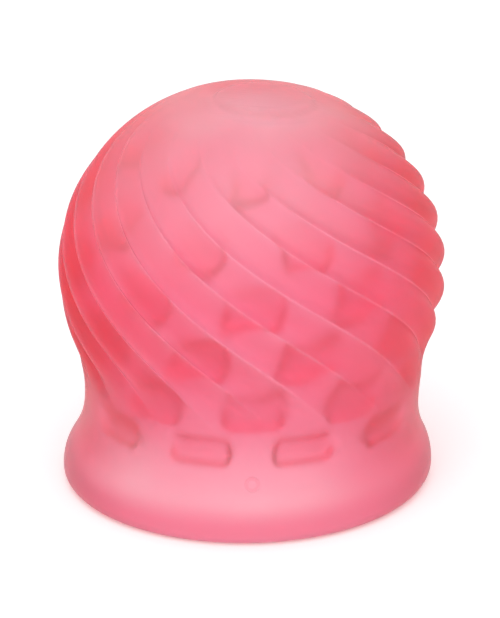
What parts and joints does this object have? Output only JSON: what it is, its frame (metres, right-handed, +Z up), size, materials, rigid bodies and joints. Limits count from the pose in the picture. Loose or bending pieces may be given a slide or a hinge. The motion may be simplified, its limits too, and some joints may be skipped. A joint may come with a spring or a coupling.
{
  "type": "silicone cupping cup",
  "caption": "Soft domed cupping cup with swirled lobes outside, rounded massage pads inside, a narrow waist and a flared sealing rim; the crown presses down to drive the air out.",
  "frame": {"origin": "centre of the mouth, on the plane that the sealing lip rests on", "axes": "+Z up through the dome; -Y towards the viewer; the stack of pads is staggered about Z"},
  "size_m": [0.0716, 0.0718, 0.0753],
  "materials": {
    "silicone_skin": "translucent pink silicone, satin",
    "silicone_crown": "translucent pink silicone, matt where the mould's gate was trimmed",
    "silicone_pads": "translucent pink silicone, satin"
  },
  "bodies": {
    "rim": {"sealing_lip": "silicone_skin", "flared_rim": "silicone_skin", "waist_band": "silicone_skin", "swirl_wall": "silicone_skin", "pad_row_1": "silicone_pads"},
    "pads_2": {"pad_row_2": "silicone_pads"},
    "pads_3": {"pad_row_3": "silicone_pads"},
    "pads_4": {"pad_row_4": "silicone_pads"},
    "pads_5": {"pad_row_5": "silicone_pads"},
    "crown": {"crown_cap": "silicone_skin", "thumb_disc": "silicone_crown", "pad_row_6": "silicone_pads"}
  },
  "joints": [
    {"name": "crown_press", "type": "slide", "parent": "rim", "child": "crown", "axis": [0, 0, -1], "range_m": [0, 0.012], "stiffness_N_per_m": 900, "deforming": ["swirl_wall"]},
    {"name": "row_2_sinks", "type": "slide", "parent": "rim", "child": "pads_2", "axis": [0, 0, -1], "range_m": [0, 0.0013]},
    {"name": "row_3_sinks", "type": "slide", "parent": "rim", "child": "pads_3", "axis": [0, 0, -1], "range_m": [0, 0.00415]},
    {"name": "row_4_sinks", "type": "slide", "parent": "rim", "child": "pads_4", "axis": [0, 0, -1], "range_m": [0, 0.00705]},
    {"name": "row_5_sinks", "type": "slide", "parent": "rim", "child": "pads_5", "axis": [0, 0, -1], "range_m": [0, 0.0099]}
  ],
  "couplings": [
    {"joint": "row_2_sinks", "follows": "crown_press", "ratio": 0.106},
    {"joint": "row_3_sinks", "follows": "crown_press", "ratio": 0.345},
    {"joint": "row_4_sinks", "follows": "crown_press", "ratio": 0.5843},
    {"joint": "row_5_sinks", "follows": "crown_press", "ratio": 0.8235}
  ]
}
